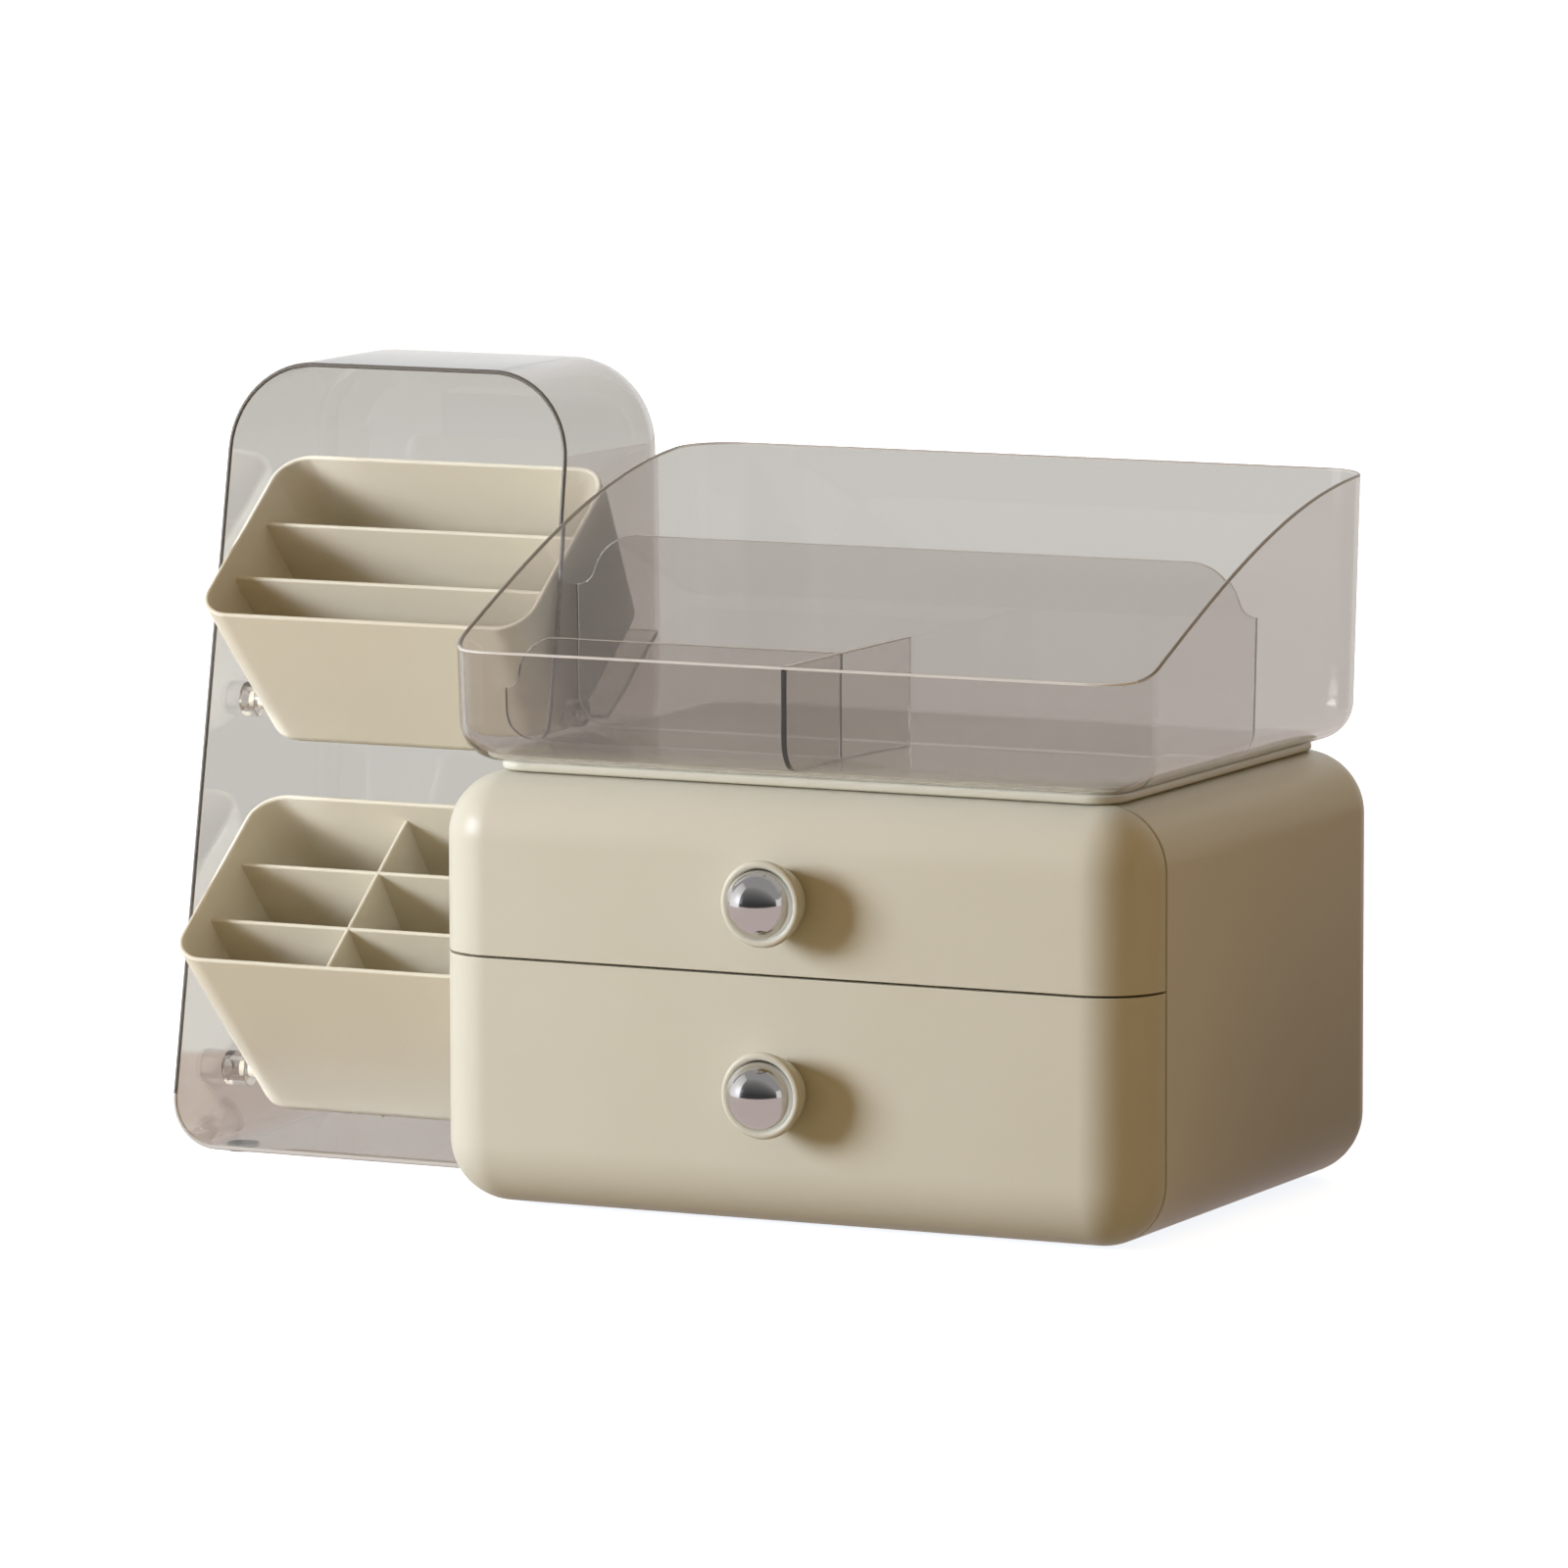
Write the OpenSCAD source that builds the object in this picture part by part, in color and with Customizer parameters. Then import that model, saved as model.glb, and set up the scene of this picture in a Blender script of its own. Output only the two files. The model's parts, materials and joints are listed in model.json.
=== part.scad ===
// Countertop makeup organizer: a two-drawer cabinet that carries an open
// clear tray, and a clear rack beside it that holds two tilted bins.
// Millimetres, +Z up, front faces -Y, origin under the middle of the footprint.

/* [Cabinet] */
// Width of the cabinet
cab_w = 280; // [220:1:340]
// Depth of the cabinet, drawer fronts included
cab_d = 221; // [170:1:270]
// Height of the cabinet body, without its feet and tray seat
cab_h = 156.6; // [150:0.2:190]
// Radius that rounds every outer edge of the cabinet
cab_r = 23.5; // [18:0.5:28]
// Height of the seam between the two drawer fronts, above the cabinet's underside
seam_h = 91.4; // [75:0.2:110]
// Wall of the cabinet body
cab_wall = 2.8; // [2:0.1:4]
// Thickness of the shelf between the drawers
shelf_t = 2.4; // [1.6:0.1:4]
// Height of the rubber feet
foot_h = 1.2; // [0.8:0.1:3]
// Diameter of the rubber feet
foot_d = 15; // [10:0.5:18]

/* [Tray seat] */
// Height of the raised seat on the cabinet's top
seat_h = 3.4; // [2.4:0.1:6]
// Distance from the cabinet's outer faces to the seat's edge
seat_inset = 17.5; // [14:0.5:20]
// Corner radius of the seat
seat_r = 12; // [6:0.5:20]

/* [Drawers] */
// Wall of the drawer fronts
front_wall = 3; // [2:0.1:4]
// Wall of the drawer boxes
box_wall = 2; // [1.5:0.1:3]
// Gap between a drawer box and the bay that it runs in
box_gap = 0.5; // [0.3:0.1:1]
// Half of the visible gap between the drawer fronts, and the gap to the cabinet
front_gap = 0.4; // [0.3:0.05:0.8]

/* [Knobs] */
// Diameter of the knob cup at its rim
knob_d = 31.2; // [24:0.2:36]
// Diameter of the knob cup where it meets the drawer front
knob_neck_d = 23; // [16:0.5:24]
// Distance from the drawer front to the knob cup's rim
knob_reach = 14.5; // [10:0.5:20]
// Height of the upper knob's centre above the seam
upper_knob_rise = 27.5; // [19:0.1:38]
// Distance from the seam down to the lower knob's centre
lower_knob_drop = 40.8; // [19:0.1:50]
// Diameter of the knob screw's thread
screw_d = 4; // [3:0.5:5]

/* [Top tray] */
// Distance from the cabinet's outer faces to the tray's walls
tray_inset = 4; // [2:0.5:10]
// Height of the tray's front rim
tray_front_h = 41; // [30:0.5:60]
// Height of the tray's back rim
tray_back_h = 97.7; // [80:0.1:130]
// Wall of the tray
tray_wall = 1.8; // [1.4:0.1:3.5]
// Corner radius of the tray seen from above
tray_r = 21; // [16:0.5:28]
// Radius between the tray's walls and its floor
tray_floor_r = 14; // [10:0.5:15]
// Lean of the tray's walls, in degrees
tray_draft = 1.2; // [0.5:0.1:2]
// Thickness of the tray's dividers
div_t = 2.2; // [1.6:0.1:3.5]
// Distance from the tray's front to the rear divider
rear_div_y = 106; // [80:1:130]
// Height of the rear divider
rear_div_h = 73; // [55:0.5:90]
// Distance from the tray's front to the front divider
front_div_y = 48; // [35:1:60]

/* [Rack] */
// Width of the rack at its base
rack_w = 148.4; // [120:0.2:190]
// Height of the rack, without its feet
rack_h = 290.4; // [284:0.2:360]
// Distance that the rack's base stands back from the drawer fronts
rack_setback = 75.4; // [60:0.2:90]
// Depth of the rack at its top
rack_top_d = 81.44; // [77.8:0.02:120]
// Lean of the rack's open front, in degrees
rack_lean = 9.8; // [6:0.1:12]
// Lean of the rack's sides, in degrees
rack_taper = 0.75; // [0.3:0.05:1.2]
// Wall of the rack
rack_wall = 1.7; // [1.4:0.1:3]
// Radius of the rack's top corners seen from the front
rack_top_r = 33; // [24:0.5:40]
// Radius of the rack's bottom corners seen from the front
rack_base_r = 19.3; // [18.5:0.1:26]
// Radius that rounds the rack's back edges
rack_back_r = 17.5; // [12:0.5:18]
// Gap between the rack and the cabinet
rack_gap = 0.6; // [0.4:0.1:10]

/* [Bins] */
// Gap between a bin's rim and the rack's side walls, at the narrowest place
bin_side_gap = 0.5; // [0.4:0.1:4]
// Length of a bin's rim from front to back
bin_l = 90; // [80:0.5:92]
// Depth of the upper bin
upper_bin_h = 70; // [55:0.5:74]
// Depth of the lower bin
lower_bin_h = 85; // [65:0.5:88]
// Distance from the rack's top down to the upper bin's front rim
upper_rim_drop = 91.7; // [91:0.1:98]
// Height of the lower bin's front rim above the rack's underside
lower_rim_z = 72.4; // [71:0.1:76]
// Tilt of the bins, in degrees
bin_tilt = 36.7; // [30:0.1:38]
// Distance that the bins' rims stand out of the rack
bin_reach = 22; // [18:0.5:30]
// Wall of the bins
bin_wall = 2; // [1.6:0.1:3]
// Corner radius of the bins
bin_r = 13.6; // [10:0.1:18]
// Distance of the lower bin's cross divider from the middle, to the left
cross_offset = 8; // [0:0.5:20]
// Distance from a bin's rim down to its dividers
bin_div_drop = 8.5; // [5:0.5:14]
// Diameter of the bins' pivot pins
pin_d = 6; // [5:0.2:8]

/* [Hidden] */

cream = [0.90, 0.88, 0.80];
beige = [0.85, 0.78, 0.66];
smoke = [0.55, 0.54, 0.53, 0.4];
chrome = [0.75, 0.75, 0.76];
rubber = [0.25, 0.25, 0.25];
steel = [0.6, 0.6, 0.6];

tight = 0.2;          // gap between pieces fixed to each other
loose = 0.3;          // gap between pieces that come apart or move
eps = 0.01;
far = 1000;           // longer than any cut
step_a = 15;          // angle between the slices that round a hull

// Cabinet: X from its left side, Y from its drawer fronts, Z from the table
body_z = foot_h;
top_z = body_z + cab_h;
seam_z = body_z + seam_h;
split_y = cab_r;                        // where the drawer fronts end on the sides
bay_inset = cab_wall;
box_inset = cab_wall + box_gap;
shelf_hi = seam_z + 2;
shelf_lo = shelf_hi - shelf_t;
shelf_step = 4;                         // from the drawer fronts back to the shelf
shelf_y = split_y + shelf_step;
shelf_d = cab_d - cab_r - shelf_y;
ledge_w = 4;
ledge_h = 2;
ledge_clear = 2;                        // from the lower drawer box up to the ledges
foot_edge = 4;                          // from where the cabinet rounds to a foot
foot_inset = cab_r + foot_d / 2 + foot_edge;
seat_root = 1;                          // how deep the seat reaches into the top
seat_z = top_z + seat_h;
box_back = cab_d - cab_wall - box_gap;
box_front = front_wall + tight;
lower_box_top = shelf_lo - ledge_h - ledge_clear;
upper_box_z = shelf_hi + loose;
box_over = 1.5;                         // how far the upper box passes where the top rounds
upper_box_top = top_z - cab_r + box_over;

// Knobs, measured out from the drawer front
cup_rim = 1.5;                          // half the thickness of the cup's rounded rim
cup_foot = 3;                           // straight stretch at the cup's neck
cup_lip = 2.6;                          // straight stretch at the cup's rim
cup_flare = 0.6;                        // how much each stretch widens
recess_depth = 3;
recess_r = knob_d / 2 - 2 * cup_rim;
dome_r = recess_r - tight;
dome_base = knob_reach - recess_depth;  // floor of the cup's recess
dome_stub = 2.5;                        // straight stretch under the dome
dome_flat = 0.4;                        // how much lower than a half ball the dome is
dome_rise = dome_r - dome_flat;
knob_tip = dome_base + tight + dome_stub + dome_rise;
screw_hole_d = screw_d + 2 * tight;
screw_head_d = 2 * screw_d;
screw_head_h = 2.4;
screw_slot = [4.4, 1, 1.2];             // each arm of the cross in the head
well_d = screw_head_d + 1;
screw_grip = 6;                         // how far the screw reaches into the dome
screw_end = dome_base + screw_grip;
knob_x = cab_w / 2;
upper_knob_z = seam_z + upper_knob_rise;
lower_knob_z = seam_z - lower_knob_drop;

// Tray
tray_x = tray_inset;
tray_y = tray_inset;
tray_w = cab_w - 2 * tray_inset;
tray_d = cab_d - 2 * tray_inset;
tray_z = seat_z + loose;
tray_in_r = tray_floor_r - tray_wall;
rim_start = 10;                         // where the side rims begin to climb
rim_blend = 7;
rim_steps = 24;
front_div_h = tray_front_h;
div_gap = loose;
rear_shoulder_w = 25;
rear_shoulder_h = 19;
front_shoulder_w = 20;
front_shoulder_h = 19;
shoulder_low = 0.27;                    // share of a shoulder's radii in its lower arc
shoulder_steps = 5;

// Rack: same axes as the cabinet, its right side toward the cabinet
rack_x = -rack_gap - rack_w / 2;        // middle of the rack
rack_z = foot_h;
rack_d = rack_top_d + rack_h * tan(rack_lean);
rack_back = rack_setback + rack_d;
boss_d = pin_d + 7;
pin_gap = 0.05;
pin_u = 14;                             // pivot, from the bin's front wall
pin_up = 14;                            // pivot, from the bin's underside
pin_short = 0.5;                        // left free at the end of the pivot's hole
side_draft = 0.1;                       // lean of the bins' sides, as a slope
front_draft = 0.055;                    // lean of the bins' front wall, as a slope
bin_edge_r = 6;                         // radius round the bins' underside
bin_div_t = 1.6;
rail_t = 2.4;
rail_lap = 4;                           // how far the rails reach under the bins
rail_start = 28;
rail_end = 12;                          // from the rail's end to the bin's back
boss_gap = 1.1;                         // between a boss and the bin's leaning side
upper_rim_z = rack_h - upper_rim_drop;
sweep_spare = 4.5;                      // how far a bin's rim rises as it tips
bin_sweep_z = upper_rim_z + bin_l * sin(bin_tilt) + sweep_spare;
pin_hold = 5;                           // how far a pin stands out of its bin
bin_open = 1;                           // how far a bin's hollow passes its rim
pin_root_share = 0.5;                   // share of the bin's wall that a pin starts in
rack_foot_d = 12;

// The whole assembly is centred over the origin
mid_x = (cab_w - rack_gap - rack_w) / 2;
mid_y = (cab_d - knob_tip) / 2;

function rack_half(z) = rack_w / 2 - z * tan(rack_taper);
bin_w = 2 * (rack_half(bin_sweep_z) - rack_wall - bin_side_gap);
function rack_front_y(z) = rack_setback + z * tan(rack_lean);
function draft_at(z) = z * tan(tray_draft);

// Height of the tray's side rim at a distance from its front
rim_rise = tray_back_h - tray_front_h;
rim_run = tray_d - rim_start;
rim_slope = rim_rise / rim_run * PI / 2;
function rim_h(y) =
    y < rim_start - rim_blend ? tray_front_h :
    y < rim_start + rim_blend
        ? tray_front_h + rim_slope * pow(y - rim_start + rim_blend, 2) / (4 * rim_blend) :
    y < tray_d ? tray_front_h + rim_rise * sin(90 * (y - rim_start) / rim_run) :
    tray_back_h;

module place() {
    translate([-mid_x, -mid_y, 0]) children();
}

// A box with every edge rounded: plates, edge cylinders and corner spheres
module rounded_box(w, d, h, r) {
    translate([r, r, 0]) cube([w - 2 * r, d - 2 * r, h]);
    translate([r, 0, r]) cube([w - 2 * r, d, h - 2 * r]);
    translate([0, r, r]) cube([w, d - 2 * r, h - 2 * r]);
    for (x = [r, w - r], y = [r, d - r])
        translate([x, y, r]) cylinder(r = r, h = h - 2 * r, $fn = 96);
    for (x = [r, w - r], z = [r, h - r])
        translate([x, r, z]) rotate([-90, 0, 0]) cylinder(r = r, h = d - 2 * r, $fn = 96);
    for (y = [r, d - r], z = [r, h - r])
        translate([r, y, z]) rotate([0, 90, 0]) cylinder(r = r, h = w - 2 * r, $fn = 96);
    for (x = [r, w - r], y = [r, d - r], z = [r, h - r])
        translate([x, y, z]) sphere(r = r, $fn = 96);
}

// The cabinet's rounded outer form, moved inward by a distance
module cabinet_form(inset) {
    translate([inset, inset, body_z + inset])
        rounded_box(cab_w - 2 * inset, cab_d - 2 * inset, cab_h - 2 * inset, cab_r - inset);
}

// A flat plate with rounded corners
module plate(w, d, h, r) {
    linear_extrude(h) {
        translate([r, 0]) square([w - 2 * r, d]);
        translate([0, r]) square([w, d - 2 * r]);
        for (x = [r, w - r], y = [r, d - r])
            translate([x, y]) circle(r = r, $fn = 72);
    }
}

module cabinet_shell() {
    color(cream) place() {
        difference() {
            intersection() {
                cabinet_form(0);
                translate([0, split_y, 0]) cube([cab_w, cab_d, far]);
            }
            translate([0, -cab_d, 0]) long_form(bay_inset);
        }
        ledges();
        seat();
    }
}

// The cabinet's form inset by a wall and twice as deep, for hollows open at one end
module long_form(inset) {
    translate([inset, inset, body_z + inset])
        rounded_box(cab_w - 2 * inset, 2 * cab_d - 2 * inset, cab_h - 2 * inset, cab_r - inset);
}

// Strips inside the side walls that the shelf lies on
module ledges() {
    for (x = [bay_inset - eps, cab_w - bay_inset - ledge_w + eps])
        translate([x, shelf_y, shelf_lo - ledge_h]) cube([ledge_w, shelf_d, ledge_h]);
}

// Raised seat for the tray; its front edge reaches over the upper drawer front
module seat() {
    over = split_y + front_gap;
    intersection() {
        translate([seat_inset, seat_inset, top_z - seat_root])
            plate(cab_w - 2 * seat_inset, cab_d - 2 * seat_inset, seat_h + seat_root, seat_r);
        union() {
            translate([0, over, 0]) cube([cab_w, cab_d, far]);
            translate([0, 0, top_z + front_gap]) cube([cab_w, cab_d, far]);
        }
    }
}

module cabinet_shelf() {
    color(cream) place()
        translate([bay_inset + tight, shelf_y, shelf_lo])
            cube([cab_w - 2 * bay_inset - 2 * tight, shelf_d, shelf_t]);
}

module cabinet_foot(x, y) {
    color(rubber) place()
        translate([x, y, 0]) cylinder(d = foot_d, h = foot_h, $fn = 64);
}

// A drawer front from one height to another, hollow from one height to another
module drawer_front(lo, hi, hollow_lo, hollow_hi, knob_z) {
    color(cream) place()
        difference() {
            intersection() {
                cabinet_form(0);
                translate([0, 0, lo]) cube([cab_w, split_y - front_gap, hi - lo]);
            }
            intersection() {
                long_form(front_wall);
                translate([0, 0, hollow_lo]) cube([cab_w, cab_d, hollow_hi - hollow_lo]);
            }
            translate([knob_x, -eps, knob_z]) rotate([-90, 0, 0])
                cylinder(d = screw_hole_d, h = front_wall + 2 * eps, $fn = 48);
        }
}

module upper_drawer_front() {
    drawer_front(seam_z + front_gap, top_z, upper_box_z - tight, top_z, upper_knob_z);
}

module lower_drawer_front() {
    hi = seam_z - front_gap;
    drawer_front(body_z, hi, body_z, hi - front_wall, lower_knob_z);
}

// Open box of the upper drawer: upright walls, rounded corners seen from above
module upper_drawer_box() {
    w = cab_w - 2 * box_inset;
    d = box_back - box_front;
    r = cab_r - box_inset;
    h = upper_box_top - upper_box_z;
    color(cream) place()
        translate([box_inset, box_front, upper_box_z])
            difference() {
                plate(w, d, h, r);
                translate([box_wall, box_wall, box_wall])
                    plate(w - 2 * box_wall, d - 2 * box_wall, h, r - box_wall);
                screw_well(upper_knob_z - upper_box_z);
            }
}

// Open box of the lower drawer: its underside is rounded like the cabinet's
module lower_drawer_box() {
    color(cream) place()
        difference() {
            intersection() {
                lower_box_form(0);
                cube([cab_w, cab_d, lower_box_top]);
            }
            lower_box_form(box_wall);
            translate([box_inset, box_front, 0]) screw_well(lower_knob_z);
        }
}

module lower_box_form(inset) {
    i = box_inset + inset;
    translate([i, box_front + inset, body_z + i])
        rounded_box(cab_w - 2 * i, box_back - box_front - 2 * inset, cab_h - 2 * i, cab_r - i);
}

// Clearance in a box's front wall for the head of the knob screw
module screw_well(z) {
    translate([knob_x - box_inset, -box_wall / 2, z]) rotate([-90, 0, 0])
        cylinder(d = well_d, h = 2 * box_wall, $fn = 48);
}

// Turns a shape made around +Z so that it points out of a drawer front
module on_front(z) {
    translate([knob_x, 0, z]) rotate([90, 0, 0]) children();
}

module knob_cup(z) {
    color(cream) place() on_front(z)
        difference() {
            rotate_extrude($fn = 96) {
                polygon([
                    [0, tight], [knob_neck_d / 2, tight], [knob_neck_d / 2 + cup_flare, cup_foot],
                    [knob_d / 2 - cup_flare, knob_reach - cup_lip], [knob_d / 2, knob_reach - cup_rim],
                    [recess_r, knob_reach - cup_rim], [recess_r, dome_base], [0, dome_base]
                ]);
                translate([knob_d / 2 - cup_rim, knob_reach - cup_rim]) circle(r = cup_rim, $fn = 48);
            }
            translate([0, 0, -eps]) cylinder(d = screw_hole_d, h = knob_reach, $fn = 48);
        }
}

module upper_knob_cup() { knob_cup(upper_knob_z); }
module lower_knob_cup() { knob_cup(lower_knob_z); }

module knob_dome(z) {
    base = dome_base + tight;
    color(chrome) place() on_front(z)
        difference() {
            union() {
                translate([0, 0, base]) cylinder(r = dome_r, h = dome_stub, $fn = 96);
                translate([0, 0, base + dome_stub])
                    intersection() {
                        translate([0, 0, dome_rise - dome_r]) sphere(r = dome_r, $fn = 96);
                        cylinder(r = dome_r, h = dome_r, $fn = 96);
                    }
            }
            translate([0, 0, base - eps])
                cylinder(d = screw_d, h = screw_end - base + loose, $fn = 48);
        }
}

module upper_knob_dome() { knob_dome(upper_knob_z); }
module lower_knob_dome() { knob_dome(lower_knob_z); }

module knob_screw(z) {
    color(steel) place() on_front(z) {
        translate([0, 0, -front_wall - screw_head_h])
            difference() {
                cylinder(d = screw_head_d, h = screw_head_h, $fn = 64);
                for (a = [0, 90]) rotate(a)
                    translate([-screw_slot.x / 2, -screw_slot.y / 2, -eps]) cube(screw_slot);
            }
        translate([0, 0, -front_wall]) cylinder(d = screw_d, h = screw_end + front_wall, $fn = 48);
    }
}

module upper_knob_screw() { knob_screw(upper_knob_z); }
module lower_knob_screw() { knob_screw(lower_knob_z); }

// One slice of a tray form: four corner discs at a height, inset from the walls
module tray_slice(z, inset, wall) {
    r = tray_r - wall - inset;
    x0 = tray_r - draft_at(z);
    x1 = tray_w - x0;
    y1 = tray_d - x0;
    for (x = [x0, x1], y = [x0, y1])
        translate([x, y, z]) cylinder(r = r, h = eps, $fn = 40);
}

// The tray's rounded tub form: slices round the floor edge and one above the rim
module tray_form(wall) {
    r = tray_floor_r - wall;
    hull() {
        for (a = [0 : step_a : 90])
            tray_slice(wall + r * (1 - cos(a)), r * (1 - sin(a)), wall);
        tray_slice(tray_back_h + wall, 0, wall);
    }
}

module tray_place() {
    place() translate([tray_x, tray_y, tray_z]) children();
}

// Everything above the tray's rim line, seen from the side
module above_rim() {
    ys = [for (i = [0 : rim_steps]) -rim_blend + (tray_d + 2 * rim_blend) * i / rim_steps];
    translate([-far / 2, 0, 0]) rotate([90, 0, 90])
        linear_extrude(far)
            polygon(concat([for (y = ys) [y, rim_h(y)]],
                [[tray_d + far, tray_back_h], [tray_d + far, far], [-far, far], [-far, tray_front_h]]));
}

module top_tray() {
    color(smoke) tray_place()
        difference() {
            tray_form(0);
            tray_form(tray_wall);
            above_rim();
        }
}

// Half width between the tray's side walls at a height
function tray_in_half(z) = tray_w / 2 - tray_wall + draft_at(z) - div_gap;

// Points of a rising shoulder from the wall to the divider's flat top: two arcs
// that meet at their common tangent
function shoulder(x, z, w, h) =
    let (turn = 2 * atan(h / w), sum = w / sin(turn), r1 = shoulder_low * sum, r2 = sum - r1)
    let (step = turn / shoulder_steps)
    concat(
        [for (a = [0 : step : turn]) [x + r1 * sin(a), z + r1 * (1 - cos(a))]],
        [for (a = [turn - step : -step : 0]) [x + w - r2 * sin(a), z + h - r2 * (1 - cos(a))]]
    );

// Points of the rounded lower corner that follows the tray's floor radius
function low_corner(x) =
    [for (a = [0 : step_a : 90])
        [x + tray_in_r * (1 - sin(a)), tray_wall + div_gap + tray_in_r * (1 - cos(a))]];

function flip_x(pts) = [for (i = [len(pts) - 1 : -1 : 0]) [tray_w - pts[i][0], pts[i][1]]];

module upright(t) {
    rotate([90, 0, 0]) translate([0, 0, -t]) linear_extrude(t) children();
}

module rear_divider() {
    side_z = rear_div_h - rear_shoulder_h;
    left = concat(
        low_corner(tray_w / 2 - tray_in_half(tray_in_r)),
        shoulder(tray_w / 2 - tray_in_half(side_z), side_z, rear_shoulder_w, rear_shoulder_h)
    );
    color(smoke) tray_place()
        translate([0, rear_div_y, 0]) upright(div_t)
            polygon(concat(left, flip_x(left)));
}

module front_divider() {
    side_z = front_div_h - front_shoulder_h;
    end_x = tray_w / 2 - div_t / 2 - tight;
    left = concat(
        low_corner(tray_w / 2 - tray_in_half(tray_in_r)),
        shoulder(tray_w / 2 - tray_in_half(side_z), side_z, front_shoulder_w, front_shoulder_h)
    );
    color(smoke) tray_place()
        translate([0, front_div_y, 0]) upright(div_t)
            polygon(concat(left, [[end_x, front_div_h], [end_x, tray_wall + div_gap]]));
}

module centre_divider() {
    front_y = tray_wall + div_gap;
    end_y = rear_div_y - tight;
    color(smoke) tray_place()
        translate([tray_w / 2 - div_t / 2, 0, 0]) rotate([90, 0, 90])
            linear_extrude(div_t)
                polygon(concat(low_corner(front_y), [
                    [front_y, front_div_h], [end_y, front_div_h], [end_y, tray_wall + div_gap]
                ]));
}

// The rack's four corners from one distance back to another, inset by two amounts
module rack_corners(y0, y1, inset0, inset1) {
    top_c = rack_h - rack_top_r;
    for (side = [-1, 1]) {
        translate([side * (rack_half(top_c) - rack_top_r), top_c, -y1])
            cylinder(r1 = rack_top_r - inset1, r2 = rack_top_r - inset0, h = y1 - y0, $fn = 40);
        translate([side * (rack_half(rack_base_r) - rack_base_r), rack_base_r, -y1])
            cylinder(r1 = rack_base_r - inset1, r2 = rack_base_r - inset0, h = y1 - y0, $fn = 40);
    }
}

// The rack's closed form: straight corners, then cones that round the back edges
module rack_form(wall, front) {
    r = rack_back_r - wall;
    back = rack_back - wall;
    rotate([90, 0, 0]) hull() {
        rack_corners(front, back - r, wall, wall);
        for (a = [0 : step_a : 90 - step_a])
            rack_corners(
                back - r * (1 - sin(a)), back - r * (1 - sin(a + step_a)),
                wall + r * (1 - cos(a)), wall + r * (1 - cos(a + step_a))
            );
    }
}

module rack_place() {
    place() translate([rack_x, 0, rack_z]) children();
}

// Puts a shape made in a bin's upright frame where that bin hangs in the rack
module bin_place(rim_z) {
    translate([0, rack_front_y(rim_z) - bin_reach, rim_z]) rotate([bin_tilt, 0, 0]) children();
}

function bin_half(depth) = bin_w / 2 - side_draft * depth;

// Pivot bosses and the sloping rails that carry a bin, on both side walls
module bin_supports(rim_z, h) {
    boss_x = bin_half(h - pin_up) + boss_gap;
    rail_x = bin_half(h) - rail_lap;
    intersection() {
        rack_form(rack_wall / 2, 0);
        bin_place(rim_z)
            for (side = [0, 1]) mirror([side, 0, 0]) {
                difference() {
                    translate([boss_x, pin_u, pin_up - h]) rotate([0, 90, 0])
                        cylinder(d = boss_d, h = rack_w, $fn = 64);
                    translate([0, pin_u, pin_up - h]) rotate([0, 90, 0])
                        cylinder(d = pin_d + 2 * pin_gap, h = pin_end(h), $fn = 64);
                }
                translate([rail_x, rail_start, -h - loose - rail_t])
                    cube([rack_w, bin_l - rail_start - rail_end, rail_t]);
            }
    }
}

function pin_end(h) = bin_half(h - pin_up) + pin_hold;

// Everything in front of the rack's leaning front, seen from the side
module before_rack() {
    translate([-rack_w, 0, 0]) rotate([90, 0, 90])
        linear_extrude(2 * rack_w)
            polygon([
                [rack_front_y(-rack_h), -rack_h], [rack_front_y(2 * rack_h), 2 * rack_h],
                [-rack_h, 2 * rack_h], [-rack_h, -rack_h]
            ]);
}

module rack_shell() {
    color(smoke) rack_place() {
        difference() {
            rack_form(0, 0);
            rack_form(rack_wall, -rack_w);
            before_rack();
        }
        bin_supports(upper_rim_z, upper_bin_h);
        bin_supports(lower_rim_z, lower_bin_h);
    }
}

module rack_foot(x, y) {
    color(rubber) rack_place()
        translate([x, y, -foot_h]) cylinder(d = rack_foot_d, h = foot_h, $fn = 64);
}

// One slice of a bin's form, at a depth below its rim
module bin_slice(depth, inset, wall) {
    r = bin_r - wall - inset;
    x = bin_w / 2 - bin_r - side_draft * depth;
    y0 = bin_r + front_draft * depth;
    y1 = bin_l - bin_r;
    for (side = [-x, x], y = [y0, y1])
        translate([side, y, -depth]) cylinder(r = r, h = eps, $fn = 40);
}

module bin_form(h, wall) {
    r = bin_edge_r - wall;
    hull() {
        bin_slice(wall > 0 ? -bin_open : 0, 0, wall);
        for (a = [0 : step_a * 2 : 90])
            bin_slice(h - wall - r * (1 - cos(a)), r * (1 - sin(a)), wall);
    }
}

// A bin: drafted walls, pivot pins, and rows parted by dividers
module bin(rim_z, h, cross) {
    pin_root = bin_half(h - pin_up) - bin_wall * pin_root_share;
    color(beige) rack_place() bin_place(rim_z) {
        difference() {
            bin_form(h, 0);
            bin_form(h, bin_wall);
        }
        intersection() {
            bin_form(h, bin_wall / 2);
            union() {
                for (row = [1, 2])
                    translate([-bin_w, bin_l * row / 3 - bin_div_t / 2, -h])
                        cube([2 * bin_w, bin_div_t, h - bin_div_drop]);
                if (cross)
                    translate([-cross_offset - bin_div_t / 2, 0, -h])
                        cube([bin_div_t, bin_l, h - bin_div_drop]);
            }
        }
        for (side = [0, 1]) mirror([side, 0, 0])
            translate([pin_root, pin_u, pin_up - h]) rotate([0, 90, 0])
                cylinder(d = pin_d, h = pin_end(h) - pin_root - pin_short, $fn = 64);
    }
}

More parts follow.
